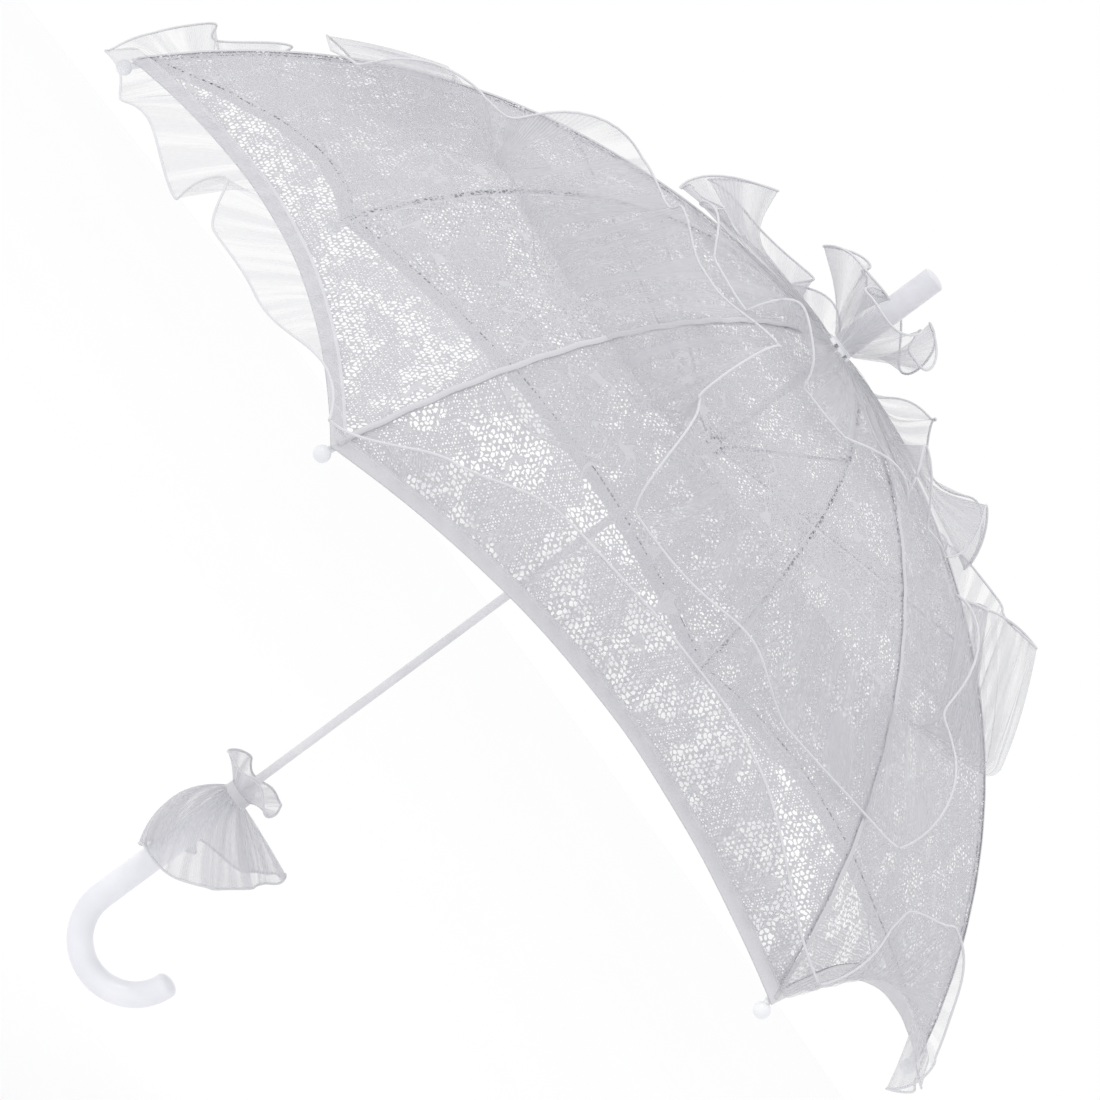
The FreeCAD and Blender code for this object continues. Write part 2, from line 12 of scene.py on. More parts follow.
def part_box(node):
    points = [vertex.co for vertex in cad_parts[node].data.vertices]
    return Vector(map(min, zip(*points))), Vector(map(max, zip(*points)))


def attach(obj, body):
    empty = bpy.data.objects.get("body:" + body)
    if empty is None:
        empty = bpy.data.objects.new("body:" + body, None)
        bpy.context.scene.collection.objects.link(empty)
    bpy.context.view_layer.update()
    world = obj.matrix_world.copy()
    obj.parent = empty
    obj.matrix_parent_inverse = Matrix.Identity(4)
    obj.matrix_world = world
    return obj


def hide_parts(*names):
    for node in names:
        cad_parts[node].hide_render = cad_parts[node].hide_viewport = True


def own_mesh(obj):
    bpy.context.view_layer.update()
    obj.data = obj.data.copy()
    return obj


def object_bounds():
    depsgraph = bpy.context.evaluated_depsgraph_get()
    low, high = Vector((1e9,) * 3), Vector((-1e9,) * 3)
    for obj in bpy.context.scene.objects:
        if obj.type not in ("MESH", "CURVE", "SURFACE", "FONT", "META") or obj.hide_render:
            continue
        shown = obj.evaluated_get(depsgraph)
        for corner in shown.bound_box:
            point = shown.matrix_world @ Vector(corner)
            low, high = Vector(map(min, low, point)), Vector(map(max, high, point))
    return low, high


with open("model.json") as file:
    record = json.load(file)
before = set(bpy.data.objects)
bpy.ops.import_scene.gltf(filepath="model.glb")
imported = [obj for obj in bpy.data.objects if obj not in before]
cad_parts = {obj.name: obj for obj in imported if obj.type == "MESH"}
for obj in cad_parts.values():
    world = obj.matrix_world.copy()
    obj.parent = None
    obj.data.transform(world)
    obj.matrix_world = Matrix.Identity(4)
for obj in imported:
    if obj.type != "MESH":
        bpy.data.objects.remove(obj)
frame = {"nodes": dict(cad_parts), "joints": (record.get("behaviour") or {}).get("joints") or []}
CAD_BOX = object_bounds()

# ---------------------------------------------------------------- frame of the canopy
RIBS = 6
SECTOR = 2 * math.pi / RIBS
HALF = SECTOR / 2
RIB_SLOPE = math.radians(2.0)        # slope of a rib where it leaves the crown
PLACES = {joint["name"]: Vector(joint["pos_m"]) for joint in frame["joints"]
          if "pos_m" in joint}
PIVOT = PLACES["rib_1_fold"]
ELBOW = PLACES["rib_1_flex"]
CROWN = PIVOT.z
FIRST_RIB = math.atan2(ELBOW.y, ELBOW.x)
TIP = max((vertex.co for vertex in frame["nodes"]["rib_end_1"].data.vertices),
          key=lambda co: (co - ELBOW).length)
BAND_LOW, BAND_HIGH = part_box("frill_band")

CLOTH_LIFT = 0.0026     # cloth over the middle line of a rib
CLOTH_SAG = 0.004       # how far the cloth dips between two ribs
HEM_RISE = 0.034        # how far the hem bows up between two rib tips
CLOTH_START = 0.008     # where the cloth begins, along a rib
CLOTH_RIPPLE = 0.0009   # height of the soft pulls in the cloth
HEM_BAND_WIDTH = 0.0105
HEM_BAND_LIFT = 0.0006  # how far each side of the hem band stands off the cloth
HEM_BAND_WRAP = 0.0004  # how far its fold reaches past the hem
HEM_BAND_CUT = 0.4      # length of its strip on one panel
SEAM_HALF_WIDTH = 0.0018
SEAM_START = 0.016      # where a seam's tape begins, along a rib
SEAM_SHORT = 0.004      # how far short of the rib's tip it ends
SEAM_LIFT = 0.0009      # middle of a seam's tape over the cloth
SEAM_ROUND = 0.0008     # how much lower its edges lie
SEAM_WOBBLE = 0.00035   # how far it strays to each side
RUFFLE_LIFT = 0.001     # stitched edge of a ruffle over the cloth
CORD_RADIUS = 0.00075
RIB_PULL = 0.13         # angle over which a rib tip pulls its ruffle in


def arc_between(start, slope, end):
    """Round arc in a rib's upright plane that leaves start at a slope and ends at end."""
    out = end[0] - start[0]
    drop = start[1] - end[1]
    turn = 2 * (math.atan2(drop, out) - slope)
    radius = math.hypot(out, drop) / (2 * math.sin(turn / 2))
    return {"start": start, "slope": slope, "radius": radius, "turn": turn,
            "length": radius * turn}


def plane_point(point):
    """Distance from the shaft and height over the crown."""
    return (math.hypot(point.x, point.y), point.z - CROWN)


INNER = arc_between(plane_point(PIVOT), RIB_SLOPE, plane_point(ELBOW))
OUTER = arc_between(plane_point(ELBOW), RIB_SLOPE + INNER["turn"], plane_point(TIP))
ELBOW_AT = INNER["length"]
RIB_LENGTH = ELBOW_AT + OUTER["length"]


def rib_point(along):
    """Distance from the shaft, height over the crown and slope, at a length along a rib."""
    arc = INNER if along < ELBOW_AT else OUTER
    ahead = along if along < ELBOW_AT else along - ELBOW_AT
    slope = arc["slope"] + ahead / arc["radius"]
    out = arc["start"][0] + arc["radius"] * (math.sin(slope) - math.sin(arc["slope"]))
    height = arc["start"][1] + arc["radius"] * (math.cos(slope) - math.cos(arc["slope"]))
    return out, height, slope


def along_at(distance):
    """Length along a rib at which it is this far from the shaft."""
    low, high = 0.0, RIB_LENGTH
    for _ in range(40):
        middle = (low + high) / 2
        if rib_point(middle)[0] < distance:
            low = middle
        else:
            high = middle
    return low


def panel_azimuth(k):
    """Azimuth of the middle of panel k."""
    return FIRST_RIB + (k + 0.5) * SECTOR


def hem_at(v):
    """Length along the ribs at which the cloth ends: v is -1 at one rib and 1 at the next."""
    return RIB_LENGTH - HEM_RISE * (1 - v * v)


def sag_at(along, v):
    """Dip of the cloth between two ribs, with the soft pulls that run to the seams."""
    share = min(1.0, along / ELBOW_AT)
    ripple = CLOTH_RIPPLE * math.sin(along * 95.0 + 4 * v) * math.sin(math.pi * 3 * v)
    return (CLOTH_SAG * share + ripple) * (1 - v * v)


def canopy_point(k, along, v, lift=0.0):
    """Point of the canopy on panel k, at a length along the ribs and a place between them."""
    out, height, slope = rib_point(along)
    rise = CLOTH_LIFT + lift - sag_at(along, v)
    far = out + rise * math.sin(slope)
    flat = Vector((far * math.cos(HALF), v * far * math.sin(HALF), 0))
    flat.z = CROWN + height + rise * math.cos(slope)
    return Matrix.Rotation(panel_azimuth(k), 3, "Z") @ flat


def share_across(azimuth):
    """Panel number and place between its two ribs, for an azimuth."""
    turn = (azimuth - FIRST_RIB) / SECTOR
    k = math.floor(turn + 1e-9)
    offset = azimuth - panel_azimuth(k)
    return k % RIBS, math.tan(offset) / math.tan(HALF)


def eased(share):
    """Smooth step: 0 to 1 with level ends."""
    return share * share * (3 - 2 * share)


# ---------------------------------------------------------------- meshes
def grid(name, columns, rows, place, flat, material):
    """Smooth sheet of quads: place and flat give a point and its flat place, by two shares."""
    shares = [(i / columns, j / rows) for j in range(rows + 1) for i in range(columns + 1)]
    faces = []
    for j in range(rows):
        for i in range(columns):
            corner = j * (columns + 1) + i
            faces.append((corner, corner + 1, corner + columns + 2, corner + columns + 1))
    mesh = bpy.data.meshes.new(name)
    mesh.from_pydata([place(u, w) for u, w in shares], [], faces)
    layer = mesh.uv_layers.new(name="flat")
    for loop in mesh.loops:
        layer.data[loop.index].uv = flat(*shares[loop.vertex_index])
    return finished(name, mesh, material)


def tube(name, points, radius, material, sides=7):
    """Round cord along a line of points, closed at both ends."""
    vertices, faces = [], []
    side = (points[1] - points[0]).orthogonal().normalized()
    last = len(points) - 1
    for index, point in enumerate(points):
        ahead = (points[min(index + 1, last)] - points[max(index - 1, 0)]).normalized()
        side = (side - ahead * side.dot(ahead)).normalized()
        up = ahead.cross(side)
        for turn in range(sides):
            angle = 2 * math.pi * turn / sides
            vertices.append(point + radius * (math.cos(angle) * side + math.sin(angle) * up))
    for ring in range(last):
        for turn in range(sides):
            first = ring * sides + turn
            second = ring * sides + (turn + 1) % sides
            faces.append((first, second, second + sides, first + sides))
    faces.append(tuple(reversed(range(sides))))
    faces.append(tuple(last * sides + turn for turn in range(sides)))
    mesh = bpy.data.meshes.new(name)
    mesh.from_pydata(vertices, [], faces)
    return finished(name, mesh, material)


def finished(name, mesh, material):
    """Smooth object made from a mesh, with its material."""
    mesh.polygons.foreach_set("use_smooth", [True] * len(mesh.polygons))
    mesh.materials.append(material)
    piece = bpy.data.objects.new(name, mesh)
    bpy.context.scene.collection.objects.link(piece)
    return piece


# ---------------------------------------------------------------- materials
SCALAR_RESULTS = ("LENGTH", "DOT_PRODUCT", "DISTANCE")
NET_CELL = 3.5               # width of a mesh of the net, millimetres
CLOSE_CELL = 1.9             # the same in the closely worked patches
NET_THREAD = (0.46, 0.30)    # half width of a thread, from its soft rim to its full cover
CLOSE_THREAD = (0.46, 0.26)
FLOWER_SPACING = 44.0
LEAVES = ((23.0, 10.5, 4.2), (15.0, 6.5, 2.6))    # spacing, half length and half width
THREAD_STEP = 7.5            # radians of the organza's weave in a millimetre
LACE_TINT = (0.650, 0.650, 0.679, 1.0)
LACE_SHADE = (0.585, 0.585, 0.616, 1.0)
ORGANZA_TINT = (0.740, 0.740, 0.773, 1.0)
ORGANZA_SHADE = (0.670, 0.670, 0.705, 1.0)


class Shader:
    """Short-hand for a material's node tree."""

    def __init__(self, name):
        self.material = bpy.data.materials.new(name)
        self.material.use_nodes = True
        self.tree = self.material.node_tree
        self.tree.nodes.clear()
        self.output = self.tree.nodes.new("ShaderNodeOutputMaterial")

    def put(self, socket, value):
        if isinstance(value, bpy.types.NodeSocket):
            self.tree.links.new(value, socket)
        else:
            socket.default_value = value

    def node(self, kind, settings, inputs):
        made = self.tree.nodes.new("ShaderNode" + kind)
        for key, value in settings.items():
            setattr(made, key, value)
        for key, value in inputs.items():
            self.put(made.inputs[key], value)
        return made

    def math(self, operation, *values):
        made = self.node("Math", {"operation": operation}, dict(enumerate(values)))
        return made.outputs[0]

    def vector(self, operation, *values):
        made = self.node("VectorMath", {"operation": operation}, dict(enumerate(values)))
        return made.outputs["Value" if operation in SCALAR_RESULTS else "Vector"]

    def ramp(self, value, low, high, start=0.0, end=1.0):
        """Smooth step from start at low to end at high."""
        inputs = {"Value": value, "From Min": low, "From Max": high, "To Min": start,
                  "To Max": end}
        made = self.node("MapRange", {"interpolation_type": "SMOOTHSTEP"}, inputs)
        return made.outputs["Result"]

    def blend(self, share, first, second):
        """Colour between two colours."""
        made = self.node("Mix", {"data_type": "RGBA"}, {})
        self.put(made.inputs[0], share)
        self.put(made.inputs[6], first)
        self.put(made.inputs[7], second)
        return made.outputs[2]

    def millimetres(self):
        """Place on the flat cloth, in millimetres."""
        flat = self.node("UVMap", {"uv_map": "flat"}, {}).outputs[0]
        return self.vector("MULTIPLY", flat, (1000.0, 1000.0, 0.0))

    def noise(self, point, size, detail=2.0, dimensions="2D"):
        """Soft noise whose blots are about this size, in the units of the point."""
        inputs = {"Vector": point, "Scale": 1.0 / size, "Detail": detail}
        return self.node("TexNoise", {"noise_dimensions": dimensions}, inputs).outputs[0]

    def bump(self, height, distance, strength=1.0):
        inputs = {"Height": height, "Distance": distance, "Strength": strength}
        return self.node("Bump", {}, inputs).outputs[0]

    def solid(self, colour, roughness, bump=None, **more):
        inputs = {"Base Color": colour, "Roughness": roughness}
        inputs.update({key.replace("_", " "): value for key, value in more.items()})
        if bump is not None:
            inputs["Normal"] = bump
        return self.node("BsdfPrincipled", {}, inputs).outputs[0]

    def sheer(self, colour, roughness, cover, bump, glow, sheen):
        """Thin cloth: threads that let some light through, and gaps between them."""
        threads = self.solid(colour, roughness, bump, Sheen_Weight=sheen)
        back = self.node("BsdfTranslucent", {}, {"Color": colour, "Normal": bump}).outputs[0]
        woven = self.node("MixShader", {}, {0: glow, 1: threads, 2: back}).outputs[0]
        gap = self.node("BsdfTransparent", {}, {}).outputs[0]
        return self.node("MixShader", {}, {0: cover, 1: gap, 2: woven}).outputs[0]

    def done(self, surface):
        self.put(self.output.inputs["Surface"], surface)
        return self.material


def hexagon_edge(shader, point, cell):
    """Distance to the nearest thread of a net of hexagons of this width."""
    step = (cell, cell * math.sqrt(3), 1.0)
    nearest = []
    for shift in (0.0, 0.5):
        moved = shader.vector("ADD", point, (shift * step[0], shift * step[1], 0.0))
        share = shader.vector("FRACTION", shader.vector("DIVIDE", moved, step))
        centred = shader.vector("SUBTRACT", share, (0.5, 0.5, 0.0))
        nearest.append(shader.vector("MULTIPLY", centred, step))
    first, second = nearest
    closer = shader.math("LESS_THAN", shader.vector("LENGTH", second),
                         shader.vector("LENGTH", first))
    picked = shader.node("Mix", {"data_type": "VECTOR"}, {0: closer, 4: first, 5: second})
    inside = shader.vector("ABSOLUTE", picked.outputs[1])
    slanted = shader.vector("DOT_PRODUCT", inside, (0.5, math.sqrt(3) / 2, 0.0))
    upright = shader.vector("DOT_PRODUCT", inside, (1.0, 0.0, 0.0))
    return shader.math("SUBTRACT", cell / 2, shader.math("MAXIMUM", slanted, upright))


def scattered(shader, point, spacing, loose):
    """Where motifs lie: the offset from the nearest motif's middle, and two random shares."""
    cells = shader.node("TexVoronoi", {"voronoi_dimensions": "2D"},
                        {"Vector": point, "Scale": 1.0 / spacing, "Randomness": loose})
    middle = shader.vector("MULTIPLY", cells.outputs["Position"], (spacing, spacing, 0.0))
    offset = shader.vector("SUBTRACT", point, middle)
    lot = shader.node("SeparateColor", {}, {"Color": cells.outputs["Color"]})
    return offset, lot.outputs[0], lot.outputs[1]


def turned(shader, offset, share):
    """The two parts of an offset after a turn by a random share of a circle."""
    spun = shader.node("VectorRotate", {"rotation_type": "Z_AXIS"},
                       {"Vector": offset, "Angle": shader.math("MULTIPLY", share, 2 * math.pi)})
    parts = shader.node("SeparateXYZ", {}, {"Vector": spun.outputs[0]})
    return parts.outputs[0], parts.outputs[1]


def flower(shader, point):
    """Five-petalled flowers: 1 on the worked petals, 0 in the net and the open rings."""
    offset, lot, size_lot = scattered(shader, point, FLOWER_SPACING, 0.8)
    x, y = turned(shader, offset, lot)
    radius = shader.vector("LENGTH", offset)
    angle = shader.math("ARCTAN2", y, x)
    lobes = shader.math("ABSOLUTE", shader.math("COSINE", shader.math("MULTIPLY", angle, 2.5)))
    reach = shader.math("MULTIPLY_ADD", size_lot, 5.0, 13.0)
    petal = shader.math("MULTIPLY", reach, shader.ramp(lobes, 0.0, 0.8, 0.52, 1.0))
    ratio = shader.math("DIVIDE", radius, petal)
    worked = shader.ramp(ratio, 1.0, 0.94)
    window = shader.math("MULTIPLY", shader.ramp(ratio, 0.50, 0.56),
                         shader.ramp(ratio, 0.80, 0.74))
    window = shader.math("MULTIPLY", window, shader.ramp(lobes, 0.55, 0.75))
    eye = shader.math("MULTIPLY", shader.ramp(radius, 2.2, 2.8), shader.ramp(radius, 4.4, 3.8))
    opened = shader.math("MAXIMUM", window, eye)
    return shader.math("MULTIPLY", worked, shader.math("SUBTRACT", 1.0, opened))


def leaf(shader, point, spacing, length, width):
    """Pointed leaves with a slit along the middle, lying every way."""
    shifted = shader.vector("ADD", point, (spacing * 3.1, spacing * 7.7, 0.0))
    offset, lot, _ = scattered(shader, shifted, spacing, 0.9)
    x, y = turned(shader, offset, lot)
    far = shader.math("POWER", shader.math("DIVIDE", shader.math("ABSOLUTE", x), length), 1.6)
    edge = shader.math("MULTIPLY", shader.math("SUBTRACT", 1.0, far), width)
    side = shader.math("ABSOLUTE", y)
    body = shader.ramp(shader.math("SUBTRACT", edge, side), 0.0, 0.5)
    return shader.math("MULTIPLY", body, shader.ramp(side, 0.25, 0.55))


def vine(shader, point, size, width):
    """Outline cords that wander between the motifs."""
    line = shader.noise(point, size, 1.0)
    near = shader.math("ABSOLUTE", shader.math("SUBTRACT", line, 0.5))
    return shader.ramp(near, width, width * 0.6)


def highest(shader, *values):
    """The largest of several values."""
    found = values[0]
    for value in values[1:]:
        found = shader.math("MAXIMUM", found, value)
    return found


def lace_material():
    """Bobbin-net lace: hexagonal ground, flowers, leaves and cords worked over it."""
    shader = Shader("lace_cloth")
    point = shader.millimetres()
    wander = shader.node("TexNoise", {"noise_dimensions": "2D"}, {"Vector": point, "Scale": 0.07})
    uneven = shader.vector("MULTIPLY", wander.outputs[1], (3.0, 3.0, 0.0))
    point = shader.vector("ADD", point, uneven)
    tug = shader.node("TexNoise", {"noise_dimensions": "2D"}, {"Vector": point, "Scale": 0.24})
    pulled = shader.vector("MULTIPLY", tug.outputs[1], (3.4, 3.4, 0.0))
    edge = hexagon_edge(shader, shader.vector("ADD", point, pulled), NET_CELL)
    heavy = shader.ramp(shader.noise(point, 5.0, 2.0), 0.38, 0.68, 0.0, 0.60)
    ground = shader.ramp(shader.math("SUBTRACT", edge, heavy), *NET_THREAD)
    close = shader.ramp(hexagon_edge(shader, point, CLOSE_CELL), *CLOSE_THREAD)
    worked = shader.ramp(shader.noise(point, 34.0, 2.0), 0.49, 0.53)
    close = shader.math("MULTIPLY", close, worked)
    leaves = [leaf(shader, point, *size) for size in LEAVES]
    motif = highest(shader, flower(shader, point), *leaves)
    cords = vine(shader, point, 30.0, 0.016)
    cover = highest(shader, ground, close, motif, cords)
    stitch = shader.node("TexWave", {"wave_type": "BANDS", "bands_direction": "DIAGONAL"},
                         {"Vector": point, "Scale": 0.35, "Distortion": 2.5})
    relief = highest(shader, shader.math("MULTIPLY", motif, 0.8), cords,
                     shader.math("MULTIPLY", cover, 0.4))
    relief = shader.math("MULTIPLY_ADD", stitch.outputs[1], 0.25, relief)
    light = highest(shader, cords, shader.math("MULTIPLY", motif, 0.75))
    tone = shader.math("MULTIPLY_ADD", shader.noise(point, 60.0, 2.0), 0.3, light)
    colour = shader.blend(tone, LACE_SHADE, LACE_TINT)
    surface = shader.sheer(colour, 0.75, shader.math("MULTIPLY", cover, 0.97),
                           shader.bump(relief, 0.0003), 0.45, 0.15)
    return shader.done(surface)


def organza_material(name, thin, thick):
    """Crisp sheer cloth: a fine square weave, denser along the soft creases."""
    shader = Shader(name)
    point = shader.millimetres()
    parts = shader.node("SeparateXYZ", {}, {"Vector": point})
    threads = []
    for index in (0, 1):
        wave = shader.math("SINE", shader.math("MULTIPLY", parts.outputs[index], THREAD_STEP))
        threads.append(shader.math("MULTIPLY_ADD", wave, 0.5, 0.5))
    weave = shader.math("MAXIMUM", *threads)
    streaks = shader.noise(shader.vector("MULTIPLY", point, (1.0, 0.05, 0.0)), 8.0, 2.0)
    blots = shader.noise(point, 26.0, 2.0)
    density = shader.math("MULTIPLY_ADD", weave, 0.18, shader.ramp(streaks, 0.3, 0.72))
    density = shader.math("MULTIPLY_ADD", blots, 0.25, density)
    cover = shader.ramp(density, 0.1, 1.3, thin, thick)
    colour = shader.blend(blots, ORGANZA_SHADE, ORGANZA_TINT)
    relief = shader.math("MULTIPLY_ADD", streaks, 1.0, weave)
    surface = shader.sheer(colour, 0.5, cover, shader.bump(relief, 0.00025), 0.35, 0.25)
    return shader.done(surface)


def satin_material(name, tint, shade, rib):
    """Woven tape and bound cord: fine ribs across, with a soft gloss."""
    shader = Shader(name)
    place = shader.node("TexCoord", {}, {}).outputs["Object"]
    grain = shader.noise(place, rib, 2.0, "3D")
    broad = shader.noise(place, rib * 14, 2.0, "3D")
    colour = shader.blend(broad, shade, tint)
    surface = shader.solid(colour, 0.42, shader.bump(grain, 0.0003), Sheen_Weight=0.3)
    return shader.done(surface)


def moulded_material(name, tint, shade, roughness, grain_size, depth):
    """Injection-moulded plastic or enamel: faint flow marks, fine grain and small scuffs."""
    shader = Shader(name)
    place = shader.node("TexCoord", {}, {}).outputs["Object"]
    flow = shader.noise(place, 0.028, 2.0, "3D")
    grain = shader.noise(place, grain_size, 3.0, "3D")
    scuffs = shader.ramp(shader.noise(place, 0.006, 4.0, "3D"), 0.60, 0.72)
    colour = shader.blend(shader.ramp(flow, 0.3, 0.7), shade, tint)
    gloss = shader.math("MULTIPLY_ADD", scuffs, 0.18, roughness)
    surface = shader.solid(colour, gloss, shader.bump(grain, depth), Coat_Weight=0.25,
                           Coat_Roughness=0.12)
    return shader.done(surface)


def steel_material(name, tint, roughness):
    """Drawn wire: fine lines along it and uneven polish."""
    shader = Shader(name)
    place = shader.node("TexCoord", {}, {}).outputs["Object"]
    lines = shader.noise(shader.vector("MULTIPLY", place, (1.0, 1.0, 0.1)), 0.0006, 2.0, "3D")
    gloss = shader.math("MULTIPLY_ADD", lines, 0.2, roughness)
    surface = shader.solid(tint, gloss, shader.bump(lines, 0.0001), Metallic=0.85)
    return shader.done(surface)


LACE = lace_material()
ORGANZA = organza_material("organza", 0.11, 0.46)
ORGANZA_CLOSE = organza_material("organza_gathered", 0.20, 0.60)
ORGANZA_FULL = organza_material("organza_doubled", 0.34, 0.80)
CORD = satin_material("edge_cord", (0.72, 0.72, 0.745, 1.0), (0.64, 0.64, 0.67, 1.0), 0.0009)
SEAM = satin_material("seam_cloth", (0.60, 0.60, 0.63, 1.0), (0.56, 0.56, 0.59, 1.0), 0.0011)
TAPE = satin_material("seam_tape", (0.655, 0.655, 0.685, 1.0), (0.61, 0.61, 0.64, 1.0), 0.0011)
HANDLE = moulded_material("handle_gloss", (0.86, 0.865, 0.90, 1.0), (0.80, 0.805, 0.85, 1.0),
                          0.30, 0.0016, 0.00008)
KNOB = moulded_material("knob_plastic", (0.84, 0.85, 0.87, 1.0), (0.76, 0.77, 0.80, 1.0),
                        0.28, 0.0012, 0.00006)
STICK = moulded_material("ferrule_plastic", (0.76, 0.76, 0.80, 1.0), (0.69, 0.69, 0.735, 1.0),
                         0.36, 0.0010, 0.00012)
ENAMEL = moulded_material("white_enamel", (0.78, 0.78, 0.80, 1.0), (0.70, 0.70, 0.73, 1.0),
                          0.22, 0.0010, 0.00004)
WIRE = steel_material("white_wire", (0.72, 0.72, 0.75, 1.0), 0.32)
SPRING = steel_material("spring_wire", (0.58, 0.58, 0.60, 1.0), 0.26)

NODE_LOOKS = {"shaft": ENAMEL, "runner": ENAMEL, "top_notch": KNOB, "ferrule": STICK,
              "handle": HANDLE, "frill_band": TAPE, "notch_wire": WIRE, "runner_wire": WIRE,
              "upper_catch": SPRING, "lower_catch": SPRING, "rib": WIRE, "rib_end": WIRE,
              "rib_tip": KNOB, "stretcher": WIRE}


def dress_nodes():
    """Gives each node of the frame its finish; rib_end_3 and its like share one."""
    for name, node in frame["nodes"].items():
        family = name.rstrip("0123456789").rstrip("_")
        look = NODE_LOOKS.get(name) or NODE_LOOKS.get(family)
        if look is None:
            continue
        node.data.materials.clear()
        node.data.materials.append(look)


# ---------------------------------------------------------------- canopy
def fold_with_ribs(piece, body):
    """Rides with a panel's body, on a mesh of its own."""
    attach(piece, body)
    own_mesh(piece)


def lace_piece(k, name, first, last_at, columns, rows):
    """Lace of panel k from one length along the ribs to another, as one curved sheet."""
    shift = (0.173 * k, 0.291 * k)

    def spot(u, w):
        v = 2 * u - 1
        return first + w * (last_at(v) - first), v

    def place(u, w):
        along, v = spot(u, w)
        return canopy_point(k, along, v)

    def flat(u, w):
        along, v = spot(u, w)
        return (v * rib_point(along)[0] * math.sin(HALF) + shift[0], along + shift[1])

    return grid(name, columns, rows, place, flat, LACE)


def build_lace(k):
    """The two parts of panel k, which meet along the line of the rib's elbows."""
    number = k + 1
    elbow_width = 2 * rib_point(ELBOW_AT)[0] * math.sin(HALF)
    inner = lace_piece(k, "lace_%d" % number, CLOTH_START, lambda v: ELBOW_AT,
                       columns=40, rows=44)
    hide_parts("panel_%d" % number)
    fold_with_ribs(inner, "panel_%d" % number)
    outer = lace_piece(k, "lace_end_%d" % number, ELBOW_AT, hem_at, columns=44, rows=52)
    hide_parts("panel_end_%d" % number)
    fold_with_ribs(outer, "panel_end_%d" % number)


def build_hem_band(k):
    """Folded binding along the hem of panel k: down the outside and back up the inside."""
    def place(u, w):
        v = 2 * u - 1
        turn = 2 * w - 1
        back = HEM_BAND_WIDTH * abs(turn) ** 1.5
        lift = HEM_BAND_LIFT * math.copysign(min(1.0, 4 * abs(turn)), turn)
        return canopy_point(k, hem_at(v) - back + HEM_BAND_WRAP, v, lift)

    def flat(u, w):
        return (u * HEM_BAND_CUT, w * 2 * HEM_BAND_WIDTH)

    band = grid("hem_band_%d" % (k + 1), 48, 10, place, flat, TAPE)
    fold_with_ribs(band, "panel_end_%d" % (k + 1))


def build_seam(k):
    """Flat tape over the seam along rib k, in two parts that meet at its elbow."""
    azimuth = FIRST_RIB + k * SECTOR
    spread = Vector((-math.sin(azimuth), math.cos(azimuth), 0))
    for part, body, first, last in (("seam", "rib", SEAM_START, ELBOW_AT),
                                    ("seam_end", "rib_end", ELBOW_AT, RIB_LENGTH - SEAM_SHORT)):
        def place(u, w):
            along = first + w * (last - first)
            out, height, slope = rib_point(along)
            across = 2 * u - 1
            lift = CLOTH_LIFT + SEAM_LIFT - SEAM_ROUND * across * across
            far = out + lift * math.sin(slope)
            wobble = SEAM_WOBBLE * math.sin(along * 210.0 + k)
            centre = Vector((far * math.cos(azimuth), far * math.sin(azimuth),
                             CROWN + height + lift * math.cos(slope)))
            return centre + spread * (across * SEAM_HALF_WIDTH + wobble)

        tape = grid("%s_%d" % (part, k + 1), 4, 60, place, lambda u, w: (u, w), SEAM)
        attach(tape, "%s_%d" % (body, k + 1))


# ---------------------------------------------------------------- ruffles
def swell(azimuth, terms):
    """Sum of waves round the shaft: each term has a number of waves, a share and a phase."""
    return sum(size * math.sin(count * azimuth + phase) for count, size, phase in terms)


def base_of(ring, azimuth):
    """Stitched edge of a ruffle, with the ways down the cloth and out of it."""
    k, v = share_across(azimuth)
    along = hem_at(v) - ring["inset"] if ring["on_hem"] else ring["along"]
    point = canopy_point(k, along, v, RUFFLE_LIFT)
    slope = rib_point(along)[2]
    narrow = math.cos(HALF) / math.cos(math.atan(v * math.tan(HALF)))
    out = Vector((math.cos(azimuth), math.sin(azimuth), 0))
    up = Vector((0, 0, 1))
    down = (out * math.cos(slope) * narrow - up * math.sin(slope)).normalized()
    off = (out * math.sin(slope) + up * math.cos(slope) * narrow).normalized()
    return point, down, off


def lean_of(ring, azimuth):
    """Lean of the free edge: 0 lies down the cloth, 90 stands up, 180 lies back up it."""
    lean = keyed(ring["lean"], math.degrees(azimuth) % 360)
    waves = swell(azimuth, ring["waves"])
    return math.radians(max(ring["least"], min(ring["most"], lean + waves)))


def near_rib(azimuth):
    """1 at a rib and 0 away from it: a ruffle is pulled in where it turns round a rib's tip."""
    offset = (azimuth - FIRST_RIB + HALF) % SECTOR - HALF
    return math.exp(-(offset / RIB_PULL) ** 2)


def keyed(keys, where):
    """Smooth value between (azimuth, value) keys that run once round the circle."""
    ring = [(keys[-1][0] - 360, keys[-1][1])] + list(keys) + [(keys[0][0] + 360, keys[0][1])]
    for (a, low), (b, high) in zip(ring, ring[1:]):
        if a <= where <= b:
            share = (where - a) / (b - a)
            return low + (high - low) * eased(share)
    return keys[0][1]


